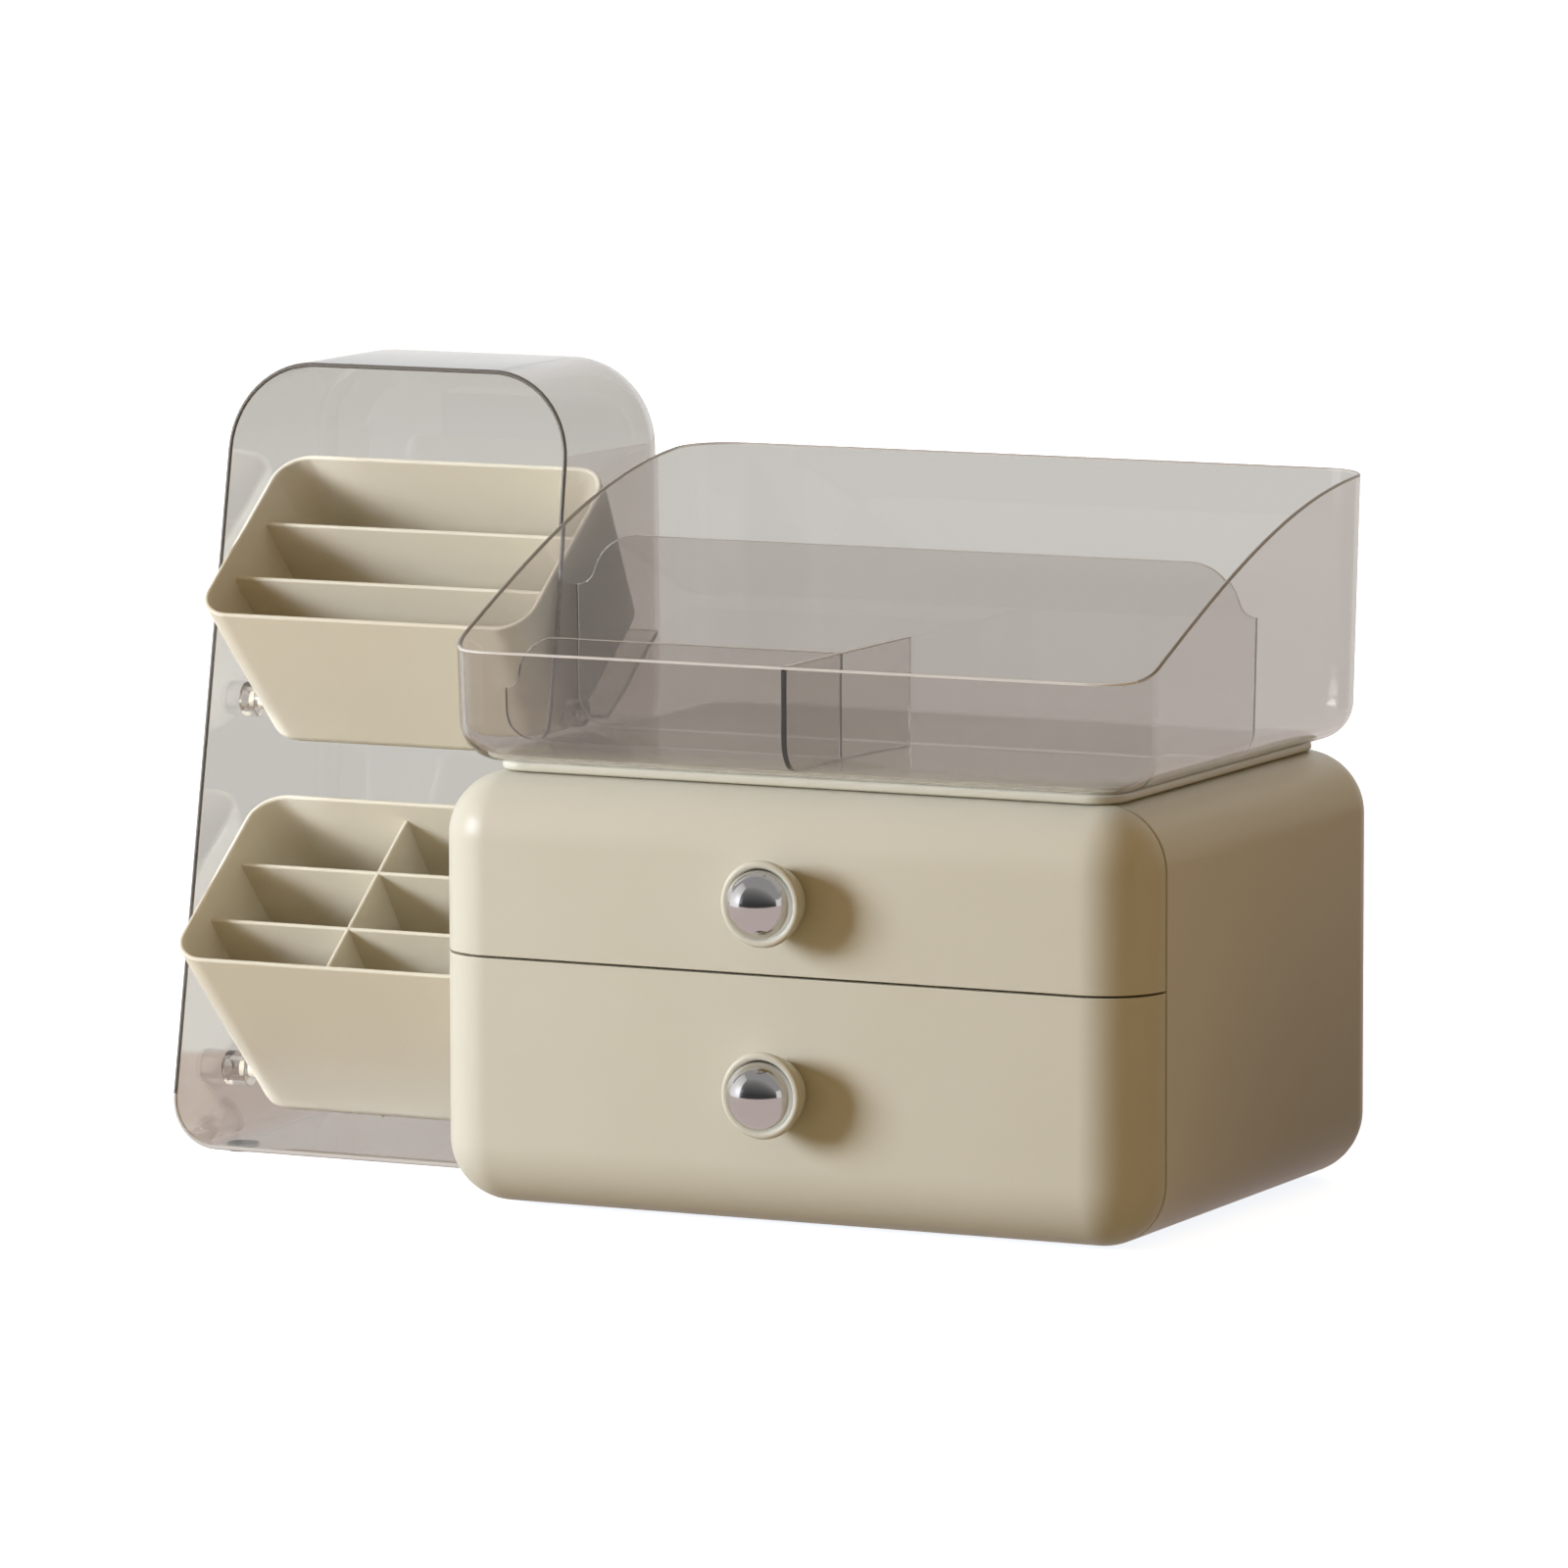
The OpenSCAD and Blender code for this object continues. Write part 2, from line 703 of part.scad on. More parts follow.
module upper_bin() { bin(upper_rim_z, upper_bin_h, false); }
module lower_bin() { bin(lower_rim_z, lower_bin_h, true); }

foot_far_x = cab_w - foot_inset;
foot_far_y = cab_d - foot_inset;
rack_foot_x = rack_half(0) - rack_base_r - rack_foot_d / 2;
rack_foot_near = rack_setback + rack_foot_d;
rack_foot_far = rack_back - rack_back_r - rack_foot_d;

cabinet_shell();
cabinet_shelf();
cabinet_foot(foot_inset, foot_inset + cab_r);  // cabinet_foot_1
cabinet_foot(foot_far_x, foot_inset + cab_r);  // cabinet_foot_2
cabinet_foot(foot_inset, foot_far_y);  // cabinet_foot_3
cabinet_foot(foot_far_x, foot_far_y);  // cabinet_foot_4
upper_drawer_box();
upper_drawer_front();
upper_knob_cup();
upper_knob_dome();
upper_knob_screw();
lower_drawer_box();
lower_drawer_front();
lower_knob_cup();
lower_knob_dome();
lower_knob_screw();
top_tray();
rear_divider();
front_divider();
centre_divider();
rack_shell();
rack_foot(-rack_foot_x, rack_foot_near);  // rack_foot_1
rack_foot(rack_foot_x, rack_foot_near);  // rack_foot_2
rack_foot(-rack_foot_x, rack_foot_far);  // rack_foot_3
rack_foot(rack_foot_x, rack_foot_far);  // rack_foot_4
upper_bin();
lower_bin();
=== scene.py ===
"""Looks of a makeup organizer: a two-drawer cabinet with a clear tray, and a clear rack of tilted bins."""

import json
import math

import bmesh
import bpy
from mathutils import Matrix, Vector


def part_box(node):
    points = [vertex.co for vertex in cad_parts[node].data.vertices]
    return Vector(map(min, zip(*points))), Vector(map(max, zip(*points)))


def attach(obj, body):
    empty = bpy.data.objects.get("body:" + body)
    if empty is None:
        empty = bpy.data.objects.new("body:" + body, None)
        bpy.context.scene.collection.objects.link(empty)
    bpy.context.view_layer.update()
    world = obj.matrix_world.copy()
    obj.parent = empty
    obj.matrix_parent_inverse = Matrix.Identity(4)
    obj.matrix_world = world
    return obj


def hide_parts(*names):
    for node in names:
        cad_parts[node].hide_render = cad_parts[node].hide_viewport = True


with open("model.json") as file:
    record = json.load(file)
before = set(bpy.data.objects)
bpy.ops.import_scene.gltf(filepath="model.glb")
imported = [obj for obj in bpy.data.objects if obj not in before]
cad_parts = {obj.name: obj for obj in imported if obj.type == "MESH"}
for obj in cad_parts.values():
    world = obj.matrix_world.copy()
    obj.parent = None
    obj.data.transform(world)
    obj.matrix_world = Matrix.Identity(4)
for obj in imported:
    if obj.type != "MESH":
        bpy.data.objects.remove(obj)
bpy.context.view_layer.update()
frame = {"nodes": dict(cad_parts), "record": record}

MM = 0.001

# ---------------------------------------------------------------- camera and frame

CAMERA_AT = (1.7051, -3.46315, 0.6335)
CAMERA_AZIMUTH = 25.81
CAMERA_ELEVATION = 7.196
CAMERA_ROLL = -0.117
CAMERA_LENS = 245.2


def add_camera():
    data = bpy.data.cameras.new("camera")
    data.lens = CAMERA_LENS
    data.sensor_width = 36
    data.clip_end = 50
    camera = bpy.data.objects.new("camera", data)
    bpy.context.scene.collection.objects.link(camera)
    turn = Matrix.Rotation(math.radians(CAMERA_AZIMUTH), 4, "Z")
    tip = Matrix.Rotation(math.radians(90 - CAMERA_ELEVATION), 4, "X")
    roll = Matrix.Rotation(math.radians(CAMERA_ROLL), 4, "Z")
    camera.matrix_world = Matrix.Translation(CAMERA_AT) @ turn @ tip @ roll
    bpy.context.scene.camera = camera


# ---------------------------------------------------------------- shader writing


class Field:
    """An output of a material node. Maths on it adds Math nodes."""

    def __init__(self, paint, socket):
        self.paint = paint
        self.socket = socket

    def maths(self, operation, first, second=0.0):
        return self.paint.node("ShaderNodeMath", {"operation": operation}, {0: first, 1: second})

    def __add__(self, other):
        return self.maths("ADD", self, other)

    __radd__ = __add__

    def __sub__(self, other):
        return self.maths("SUBTRACT", self, other)

    def __rsub__(self, other):
        return self.maths("SUBTRACT", other, self)

    def __mul__(self, other):
        return self.maths("MULTIPLY", self, other)

    __rmul__ = __mul__


class Paint:
    """One material, written node by node."""

    def __init__(self, name):
        self.material = bpy.data.materials.new(name)
        self.material.use_nodes = True
        self.tree = self.material.node_tree
        self.tree.nodes.clear()

    @classmethod
    def on(cls, tree):
        """Writes in a tree that is there already."""
        paint = cls.__new__(cls)
        paint.tree = tree
        tree.nodes.clear()
        return paint

    def node(self, kind, settings=None, inputs=None, output=0):
        node = self.tree.nodes.new(kind)
        for name, value in (settings or {}).items():
            setattr(node, name, value)
        for key, value in (inputs or {}).items():
            socket = node.inputs[key]
            if isinstance(value, Field):
                self.tree.links.new(value.socket, socket)
            else:
                socket.default_value = value
        return Field(self, node.outputs[output])

    def place(self):
        """The point on the piece, in metres, in the piece's own frame."""
        return self.node("ShaderNodeTexCoord", output="Object")

    def noise(self, scale, detail=3.0, roughness=0.55):
        inputs = {"Vector": self.place(), "Scale": scale, "Detail": detail, "Roughness": roughness}
        return self.node("ShaderNodeTexNoise", inputs=inputs)

    def blend(self, factor, first, second):
        """A colour between two colours."""
        return self.node("ShaderNodeMix", {"data_type": "RGBA"}, {0: factor, 6: first, 7: second}, output=2)

    def bump(self, height, strength, distance):
        inputs = {"Height": height, "Strength": strength, "Distance": distance}
        return self.node("ShaderNodeBump", inputs=inputs)

    def surface(self, shader):
        self.node_output = self.tree.nodes.new("ShaderNodeOutputMaterial")
        self.tree.links.new(shader.socket, self.node_output.inputs["Surface"])
        return self.material


def from_srgb(red, green, blue, alpha=1.0):
    """A colour given in 0..255, as Blender's linear numbers."""

    def straight(value):
        share = value / 255
        return share / 12.92 if share <= 0.04045 else ((share + 0.055) / 1.055) ** 2.4

    return (straight(red), straight(green), straight(blue), alpha)


# ---------------------------------------------------------------- materials

CREAM = from_srgb(207, 203, 187)
CREAM_DEEP = from_srgb(203, 198, 180)
# The bins' cream is paler than the cabinet's. This is partly their own tone and partly painted light, making
# up for the lamp light that their downward-tilted fronts miss.
BIN_CREAM = from_srgb(225, 219, 201)
BIN_CREAM_DEEP = from_srgb(220, 212, 192)


def moulded_plastic(name, pale, deep, roughness):
    """Cream plastic: colour drifts a little over each piece, and the gloss is slightly uneven."""
    paint = Paint(name)
    drift = paint.noise(14.0)
    grain = paint.noise(900.0, 2.0)
    orange_peel = paint.noise(160.0, 1.0)
    shader = paint.node(
        "ShaderNodeBsdfPrincipled",
        inputs={
            "Base Color": paint.blend(drift, pale, deep),
            "Roughness": roughness + 0.06 * drift + 0.05 * grain,
            "IOR": 1.5,
            "Specular IOR Level": 0.18,
            "Normal": paint.bump(orange_peel + 0.35 * grain, 0.06, 0.0004),
        },
    )
    return paint.surface(shader)


SMOKE = (0.80, 0.772, 0.754, 1.0)
SMOKE_SHADOW = (0.96, 0.95, 0.94, 1.0)
# Rim tones: a dark painted shade, a warmer painted half shade and a pale painted highlight, mixed into the
# clear pieces' edges.
RIM_PAINTED_SHADE = (0.36, 0.33, 0.30, 1.0)
RIM_PAINTED_HALF_SHADE = (0.58, 0.53, 0.47, 1.0)
RIM_PAINTED_HIGHLIGHT = (0.90, 0.85, 0.80, 1.0)
PLASTIC_IOR = 1.47


def clear_shader(paint):
    flow = paint.noise(9.0, 2.0)
    speck = paint.noise(700.0, 1.0)
    return paint.node(
        "ShaderNodeBsdfPrincipled",
        inputs={
            "Base Color": SMOKE,
            "Roughness": 0.022 + 0.008 * speck,
            "Transmission Weight": 1.0,
            "IOR": PLASTIC_IOR,
            "Normal": paint.bump(flow, 0.05, 0.0006),
        },
    )


def smoke_clear():
    """Smoke-tinted clear plastic. Light from the lamps passes through it, so what it holds stays lit."""
    paint = Paint("smoke_clear")
    pane = paint.node("ShaderNodeBsdfTransparent", inputs={"Color": SMOKE_SHADOW})
    lamp_ray = paint.node("ShaderNodeLightPath", output="Is Shadow Ray")
    clear = clear_shader(paint)
    return paint.surface(paint.node("ShaderNodeMixShader", inputs={0: lamp_ray, 1: clear, 2: pane}))


def painted_rim_tone(name, colour, milky_painted_share):
    """The moulded edges of the clear pieces, mixed with an opaque tone. This is partly real, since polished
    edges look cloudier than the walls, and partly painted light and shade: the tone copies the dark and pale
    lines that refraction and highlights make along each rim.
    """
    paint = Paint(name)
    wear = paint.noise(60.0)
    milky_painted_tone = paint.node(
        "ShaderNodeBsdfPrincipled",
        inputs={"Base Color": colour, "Roughness": 0.25 + 0.1 * wear, "IOR": PLASTIC_IOR},
    )
    return paint.surface(
        paint.node("ShaderNodeMixShader", inputs={0: milky_painted_share, 1: clear_shader(paint), 2: milky_painted_tone})
    )


def chrome():
    paint = Paint("chrome")
    polish = paint.noise(500.0, 2.0)
    haze = paint.noise(40.0)
    shader = paint.node(
        "ShaderNodeBsdfPrincipled",
        inputs={
            "Base Color": (0.56, 0.545, 0.54, 1.0),
            "Metallic": 1.0,
            "Roughness": 0.06 + 0.05 * haze + 0.02 * polish,
            "Normal": paint.bump(haze, 0.02, 0.0002),
        },
    )
    return paint.surface(shader)


def steel():
    paint = Paint("screw_steel")
    turned = paint.noise(1200.0)
    shader = paint.node(
        "ShaderNodeBsdfPrincipled",
        inputs={
            "Base Color": paint.blend(turned, (0.42, 0.42, 0.42, 1.0), (0.58, 0.58, 0.58, 1.0)),
            "Metallic": 1.0,
            "Roughness": 0.3 + 0.15 * turned,
        },
    )
    return paint.surface(shader)


def rubber():
    paint = Paint("foot_rubber")
    crumb = paint.noise(900.0)
    shader = paint.node(
        "ShaderNodeBsdfPrincipled",
        inputs={
            "Base Color": paint.blend(crumb, (0.10, 0.10, 0.10, 1.0), (0.16, 0.155, 0.15, 1.0)),
            "Roughness": 0.75 + 0.15 * crumb,
            "Normal": paint.bump(crumb, 0.2, 0.0003),
        },
    )
    return paint.surface(shader)


MATERIALS = {
    "cream_gloss": moulded_plastic("cream_gloss", CREAM, CREAM_DEEP, 0.24),
    "beige_bin": moulded_plastic("beige_bin", BIN_CREAM, BIN_CREAM_DEEP, 0.42),
    "smoke_clear": smoke_clear(),
    "chrome_dome": chrome(),
    "steel_screw": steel(),
    "rubber_foot": rubber(),
}
# Painted rim tones: painted shade on the rims of the rack and tray, and a painted highlight on their low and
# front edges and on the dividers' tops.
RACK_RIM_PAINTED_SHADE = painted_rim_tone("painted_rim_tone", RIM_PAINTED_SHADE, 0.45)
TRAY_RIM_PAINTED_SHADE = painted_rim_tone("painted_side_rim_tone", RIM_PAINTED_HALF_SHADE, 0.5)
EDGE_PAINTED_HIGHLIGHT = painted_rim_tone("painted_edge_highlight", RIM_PAINTED_HIGHLIGHT, 0.6)

# ---------------------------------------------------------------- pieces


def add_piece(name, mesh, slot, body, *replaced, bevel=None, weighted=True):
    """A finished piece: its mesh, finish, body, and the CAD nodes that it stands for."""
    piece = bpy.data.objects.new(name, mesh)
    bpy.context.scene.collection.objects.link(piece)
    mesh.materials.append(MATERIALS[slot])
    for polygon in mesh.polygons:
        polygon.use_smooth = True
    if bevel:
        cut = piece.modifiers.new("soft_edges", "BEVEL")
        cut.width = bevel
        cut.segments = 3
        cut.limit_method = "ANGLE"
        cut.angle_limit = math.radians(38)
    if weighted:
        piece.modifiers.new("flat_faces_stay_flat", "WEIGHTED_NORMAL")
    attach(piece, body)
    if replaced:
        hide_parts(*replaced)
    return piece


def mesh_from(name, bm):
    bmesh.ops.recalc_face_normals(bm, faces=bm.faces[:])
    mesh = bpy.data.meshes.new(name)
    bm.to_mesh(mesh)
    bm.free()
    return mesh


SKIN_ROWS = {}


def skin(name, rings):
    """A closed skin through rings of as many points each, capped by a flat face at both ends."""
    bm = bmesh.new()
    rows = [[bm.verts.new(point) for point in ring] for ring in rings]
    for row, following in zip(rows, rows[1:]):
        for k in range(len(row)):
            after = (k + 1) % len(row)
            bm.faces.new((row[k], row[after], following[after], following[k]))
    bm.faces.new(rows[0])
    bm.faces.new(rows[-1])
    SKIN_ROWS[name] = len(rings) - 1
    return mesh_from(name, bm)


def rim_finish(piece, finish, first, count, along):
    """Gives a finish to a skin's rows from first on, where along holds for a face's middle."""
    mesh = piece.data
    mesh.materials.append(finish)
    slot = len(mesh.materials) - 1
    rows = len(mesh.polygons) - 2
    around = sum(1 for p in mesh.polygons if p.index < rows) // SKIN_ROWS[mesh.name]
    for polygon in mesh.polygons[first * around:(first + count) * around]:
        if along(polygon.center):
            polygon.material_index = slot


def arc(start, end, steps):
    """Angles in radians from start to end, given in degrees."""
    return [math.radians(start + (end - start) * k / steps) for k in range(steps + 1)]


CORNER_STEPS = 14


def outline(x0, x1, y0, y1, radius, across=2, along=2):
    """Points round a rectangle with rounded corners, from its front left, with points on its sides."""
    corners = (
        (x0 + radius, y0 + radius, 180),
        (x1 - radius, y0 + radius, 270),
        (x1 - radius, y1 - radius, 0),
        (x0 + radius, y1 - radius, 90),
    )
    points = []
    for k, (x, y, turn) in enumerate(corners):
        here = [
            (x + radius * math.cos(a), y + radius * math.sin(a))
            for a in arc(turn, turn + 90, CORNER_STEPS)
        ]
        points += here
        ahead_x, ahead_y, ahead_turn = corners[(k + 1) % 4]
        goal = (
            ahead_x + radius * math.cos(math.radians(ahead_turn)),
            ahead_y + radius * math.sin(math.radians(ahead_turn)),
        )
        count = across if k % 2 == 0 else along
        last = here[-1]
        for j in range(1, count):
            share = j / count
            points.append((last[0] + (goal[0] - last[0]) * share, last[1] + (goal[1] - last[1]) * share))
    return points


def rounding(radius, wall, steps, inner=False):
    """(inset, height) pairs round a floor edge: from the floor out to the wall, or back for the inside."""
    r = radius - wall if inner else radius
    base = wall if inner else 0.0
    pairs = [(base + r * (1 - math.sin(a)), base + r * (1 - math.cos(a))) for a in arc(0, 90, steps)]
    return pairs[::-1] if inner else pairs


def rolled(wall, steps=6):
    """(inset, height above the rim's middle) pairs over a rim with a round top."""
    half = wall / 2
    return [(half - half * math.cos(a), half * math.sin(a)) for a in arc(0, 180, steps)]


# ---------------------------------------------------------------- the cabinet

lower_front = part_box("lower_drawer_front")
upper_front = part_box("upper_drawer_front")
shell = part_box("cabinet_shell")
CAB_X0, CAB_X1 = lower_front[0].x, lower_front[1].x
CAB_Y0, CAB_Y1 = lower_front[0].y, shell[1].y
BODY_Z, TOP_Z, SEAT_Z = lower_front[0].z, upper_front[1].z, shell[1].z
FRONT_BACK_Y = lower_front[1].y
CAB_RADIUS = 23.5 * MM
CAB_WALL = 2.8 * MM
FRONT_WALL = 3.0 * MM
SIDE_SEAM = 1.2 * MM
SEAT_GAP = 0.12 * MM
ROUND_STEPS = 18
EDGE = 0.45 * MM
SEAT_INSET = 17.5 * MM
SEAT_RADIUS = 12 * MM


def rounded_block():
    """The cabinet's whole outer form, every edge rounded."""
    bm = bmesh.new()
    bmesh.ops.create_cube(bm, size=1)
    low = Vector((CAB_X0, CAB_Y0, BODY_Z))
    high = Vector((CAB_X1, CAB_Y1, TOP_Z))
    for vert in bm.verts:
        vert.co = Vector(low[k] + (vert.co[k] + 0.5) * (high[k] - low[k]) for k in range(3))
    bmesh.ops.bevel(
        bm, geom=bm.edges[:], offset=CAB_RADIUS, segments=ROUND_STEPS, profile=0.5, affect="EDGES"
    )
    return bm


def cut_away(bm, point, normal, closed):
    """Removes what is on the normal's side of a plane, and closes the cut if asked."""
    everything = bm.verts[:] + bm.edges[:] + bm.faces[:]
    made = bmesh.ops.bisect_plane(
        bm, geom=everything, plane_co=point, plane_no=normal, clear_outer=True, dist=1e-7
    )
    if closed:
        edges = [e for e in made["geom_cut"] if isinstance(e, bmesh.types.BMEdge)]
        bmesh.ops.contextual_create(bm, geom=edges)


def thickened(name, bm, wall, slot, body, node):
    piece = add_piece(name, mesh_from(name, bm), slot, body, node, weighted=False)
    walls = piece.modifiers.new("walls", "SOLIDIFY")
    walls.thickness = wall
    walls.offset = -1
    walls.use_even_offset = True
    soft = piece.modifiers.new("soft_edges", "BEVEL")
    soft.width = EDGE
    soft.segments = 3
    soft.limit_method = "ANGLE"
    soft.angle_limit = math.radians(45)
    piece.modifiers.new("flat_faces_stay_flat", "WEIGHTED_NORMAL")
    return piece


def build_cabinet():
    seam_low, seam_high = lower_front[1].z, upper_front[0].z
    bm = rounded_block()
    cut_away(bm, (0, 0, seam_low), (0, 0, 1), True)
    cut_away(bm, (0, FRONT_BACK_Y, 0), (0, 1, 0), False)
    thickened("lower_drawer_face", bm, FRONT_WALL, "cream_gloss", "lower_drawer", "lower_drawer_front")

    bm = rounded_block()
    cut_away(bm, (0, 0, seam_high), (0, 0, -1), True)
    cut_away(bm, (0, FRONT_BACK_Y, 0), (0, 1, 0), False)
    thickened("upper_drawer_face", bm, FRONT_WALL, "cream_gloss", "upper_drawer", "upper_drawer_front")

    bm = rounded_block()
    cut_away(bm, (0, FRONT_BACK_Y + SIDE_SEAM, 0), (0, -1, 0), False)
    thickened("cabinet_body", bm, CAB_WALL, "cream_gloss", "cabinet", "cabinet_shell")

    seat = outline(
        CAB_X0 + SEAT_INSET, CAB_X1 - SEAT_INSET, CAB_Y0 + SEAT_INSET, CAB_Y1 - SEAT_INSET, SEAT_RADIUS
    )
    heights = (TOP_Z + SEAT_GAP, SEAT_Z)
    mesh = skin("tray_seat", [[(x, y, z) for x, y in seat] for z in heights])
    add_piece("tray_seat", mesh, "cream_gloss", "cabinet", bevel=1.2 * MM)


# ---------------------------------------------------------------- knobs

LATHE_STEPS = 96
CUP_LIP = 1.5 * MM
CUP_RECESS = 3.0 * MM
DOME_STUB = 2.5 * MM


def lathe(name, centre, profile):
    """A closed turned shape about the line out of a drawer front. Profile points are (radius, reach)."""
    bm = bmesh.new()
    rings = []
    for radius, reach in profile:
        y = centre.y - reach
        if radius < 1e-6:
            rings.append([bm.verts.new((centre.x, y, centre.z))])
            continue
        rings.append([
            bm.verts.new((centre.x + radius * math.cos(a), y, centre.z + radius * math.sin(a)))
            for a in arc(0, 360 - 360 / LATHE_STEPS, LATHE_STEPS - 1)
        ])
    for ring, following in zip(rings, rings[1:]):
        for k in range(LATHE_STEPS):
            after = (k + 1) % LATHE_STEPS
            if len(ring) == 1:
                bm.faces.new((ring[0], following[k], following[after]))
            elif len(following) == 1:
                bm.faces.new((ring[k], following[0], ring[after]))
            else:
                bm.faces.new((ring[k], following[k], following[after], ring[after]))
    return mesh_from(name, bm)


def build_knob(which):
    body = which + "_drawer"
    low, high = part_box(which + "_knob_cup")
    middle = (low + high) / 2
    centre = Vector((middle.x, CAB_Y0, middle.z))
    rim_radius = (high.x - low.x) / 2
    reach = CAB_Y0 - low.y
    neck = 11.5 * MM
    recess_radius = rim_radius - 2 * CUP_LIP
    floor = reach - CUP_RECESS
    profile = [(0, 0.2 * MM), (neck - 0.5 * MM, 0.2 * MM), (neck, 0.7 * MM)]
    flare_steps = 10
    for k in range(1, flare_steps + 1):
        share = k / flare_steps
        bulge = 0.7 * MM * math.sin(math.pi * share)
        profile.append((neck + (rim_radius - neck) * share + bulge * (1 - share),
                        0.7 * MM + (reach - CUP_LIP - 0.7 * MM) * share))
    for a in arc(15, 180, 11):
        across = rim_radius - CUP_LIP + CUP_LIP * math.cos(a)
        profile.append((across, reach - CUP_LIP + CUP_LIP * math.sin(a)))
    profile += [(recess_radius, floor + 0.5 * MM), (recess_radius - 0.5 * MM, floor), (0, floor)]
    mesh = lathe(which + "_cup", centre, profile)
    add_piece(which + "_cup", mesh, "cream_gloss", body, which + "_knob_cup")

    dome_low, dome_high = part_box(which + "_knob_dome")
    tip = CAB_Y0 - dome_low.y
    foot = CAB_Y0 - dome_high.y
    flange = (dome_high.x - dome_low.x) / 2
    radius = flange
    ball_middle = tip - radius
    profile = [(0, foot), (flange - 0.3 * MM, foot), (flange, foot + 0.3 * MM)]
    first = math.degrees(math.asin((foot + DOME_STUB - ball_middle) / radius))
    for a in arc(first, 90, 32):
        across = radius * math.cos(a) if a < math.radians(89.9) else 0
        profile.append((across, ball_middle + radius * math.sin(a)))
    mesh = lathe(which + "_dome", centre, profile)
    dome = add_piece(which + "_dome", mesh, "chrome_dome", body, which + "_knob_dome")
    dome.visible_shadow = False  # so that the cup's rim stays bright all round


# ---------------------------------------------------------------- the tray

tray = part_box("top_tray")
TRAY_DRAFT = math.tan(math.radians(1.2))
TRAY_H = tray[1].z - tray[0].z
TRAY_FRONT_H = 41 * MM
TRAY_X0, TRAY_X1 = tray[0].x + TRAY_H * TRAY_DRAFT, tray[1].x - TRAY_H * TRAY_DRAFT
TRAY_Y0, TRAY_Z = tray[0].y + TRAY_FRONT_H * TRAY_DRAFT, tray[0].z
TRAY_Y1 = tray[1].y - TRAY_H * TRAY_DRAFT
TRAY_WALL = 1.8 * MM
TRAY_CORNER = 21 * MM
TRAY_FLOOR_R = 14 * MM
RIM_START = 10 * MM
RIM_BLEND = 7 * MM


def side_rim(y):
    """Height of the tray's rim above its base, at a distance from its front."""
    run = TRAY_Y1 - TRAY_Y0 - RIM_START
    rise = TRAY_H - TRAY_FRONT_H
    if y < RIM_START - RIM_BLEND:
        return TRAY_FRONT_H
    if y < RIM_START + RIM_BLEND:
        slope = rise / run * math.pi / 2
        return TRAY_FRONT_H + slope * (y - RIM_START + RIM_BLEND) ** 2 / (4 * RIM_BLEND)
    return TRAY_FRONT_H + rise * math.sin(math.pi / 2 * min(1.0, (y - RIM_START) / run))


def tray_ring(inset, height):
    """One ring of the tray. height is a number, or a function of the distance from the tray's front."""
    level = height if isinstance(height, float) else TRAY_FRONT_H
    grown = level * TRAY_DRAFT - inset
    plan = outline(TRAY_X0 - grown, TRAY_X1 + grown, TRAY_Y0 - grown, TRAY_Y1 + grown,
                   max(TRAY_CORNER - inset, MM), across=2, along=48)
    if isinstance(height, float):
        return [(x, y, TRAY_Z + height) for x, y in plan]
    ring = []
    middle_x, middle_y = (TRAY_X0 + TRAY_X1) / 2, (TRAY_Y0 + TRAY_Y1) / 2
    half_x, half_y = (TRAY_X1 - TRAY_X0) / 2 + grown, (TRAY_Y1 - TRAY_Y0) / 2 + grown
    for x, y in plan:
        top = height(y - TRAY_Y0)
        more = (top - level) * TRAY_DRAFT
        x = middle_x + (x - middle_x) * (half_x + more) / half_x
        y = middle_y + (y - middle_y) * (half_y + more) / half_y
        ring.append((x, y, TRAY_Z + height(y - TRAY_Y0)))
    return ring


def rim_at(drop):
    return lambda y: side_rim(y) + drop


def build_tray():
    rings = [tray_ring(inset, height) for inset, height in rounding(TRAY_FLOOR_R, TRAY_WALL, 20)]
    half = TRAY_WALL / 2
    rim = [tray_ring(inset, rim_at(rise - half)) for inset, rise in rolled(TRAY_WALL)]
    within = [tray_ring(inset, height) for inset, height in rounding(TRAY_FLOOR_R, TRAY_WALL, 20, inner=True)]
    mesh = skin("clear_tray", rings + rim + within)
    piece = add_piece("clear_tray", mesh, "smoke_clear", "tray", "top_tray")
    climb = TRAY_Y0 + RIM_START
    # Painted shade on the rim's rising sides, and a painted highlight along its low front.
    rim_finish(piece, TRAY_RIM_PAINTED_SHADE, len(rings), len(rim) - 1, lambda middle: middle.y > climb)
    rim_finish(piece, EDGE_PAINTED_HIGHLIGHT, len(rings), len(rim) - 1, lambda middle: middle.y <= climb)


def shoulder(x, z, width, height):
    """A rising ogee from a wall to a divider's flat top: two arcs that share a tangent."""
    turn = 2 * math.degrees(math.atan(height / width))
    total = width / math.sin(math.radians(turn))
    low, high = 0.27 * total, 0.73 * total
    rising = [(x + low * math.sin(a), z + low * (1 - math.cos(a))) for a in arc(0, turn, 8)]
    levelling = [
        (x + width - high * math.sin(a), z + height - high * (1 - math.cos(a)))
        for a in arc(turn, 0, 14)
    ]
    return rising + levelling[1:]


def low_corner(x, z, radius):
    return [(x + radius * (1 - math.sin(a)), z + radius * (1 - math.cos(a))) for a in arc(0, 90, 10)]


def mirrored(points, about):
    return [(2 * about - x, z) for x, z in reversed(points)]


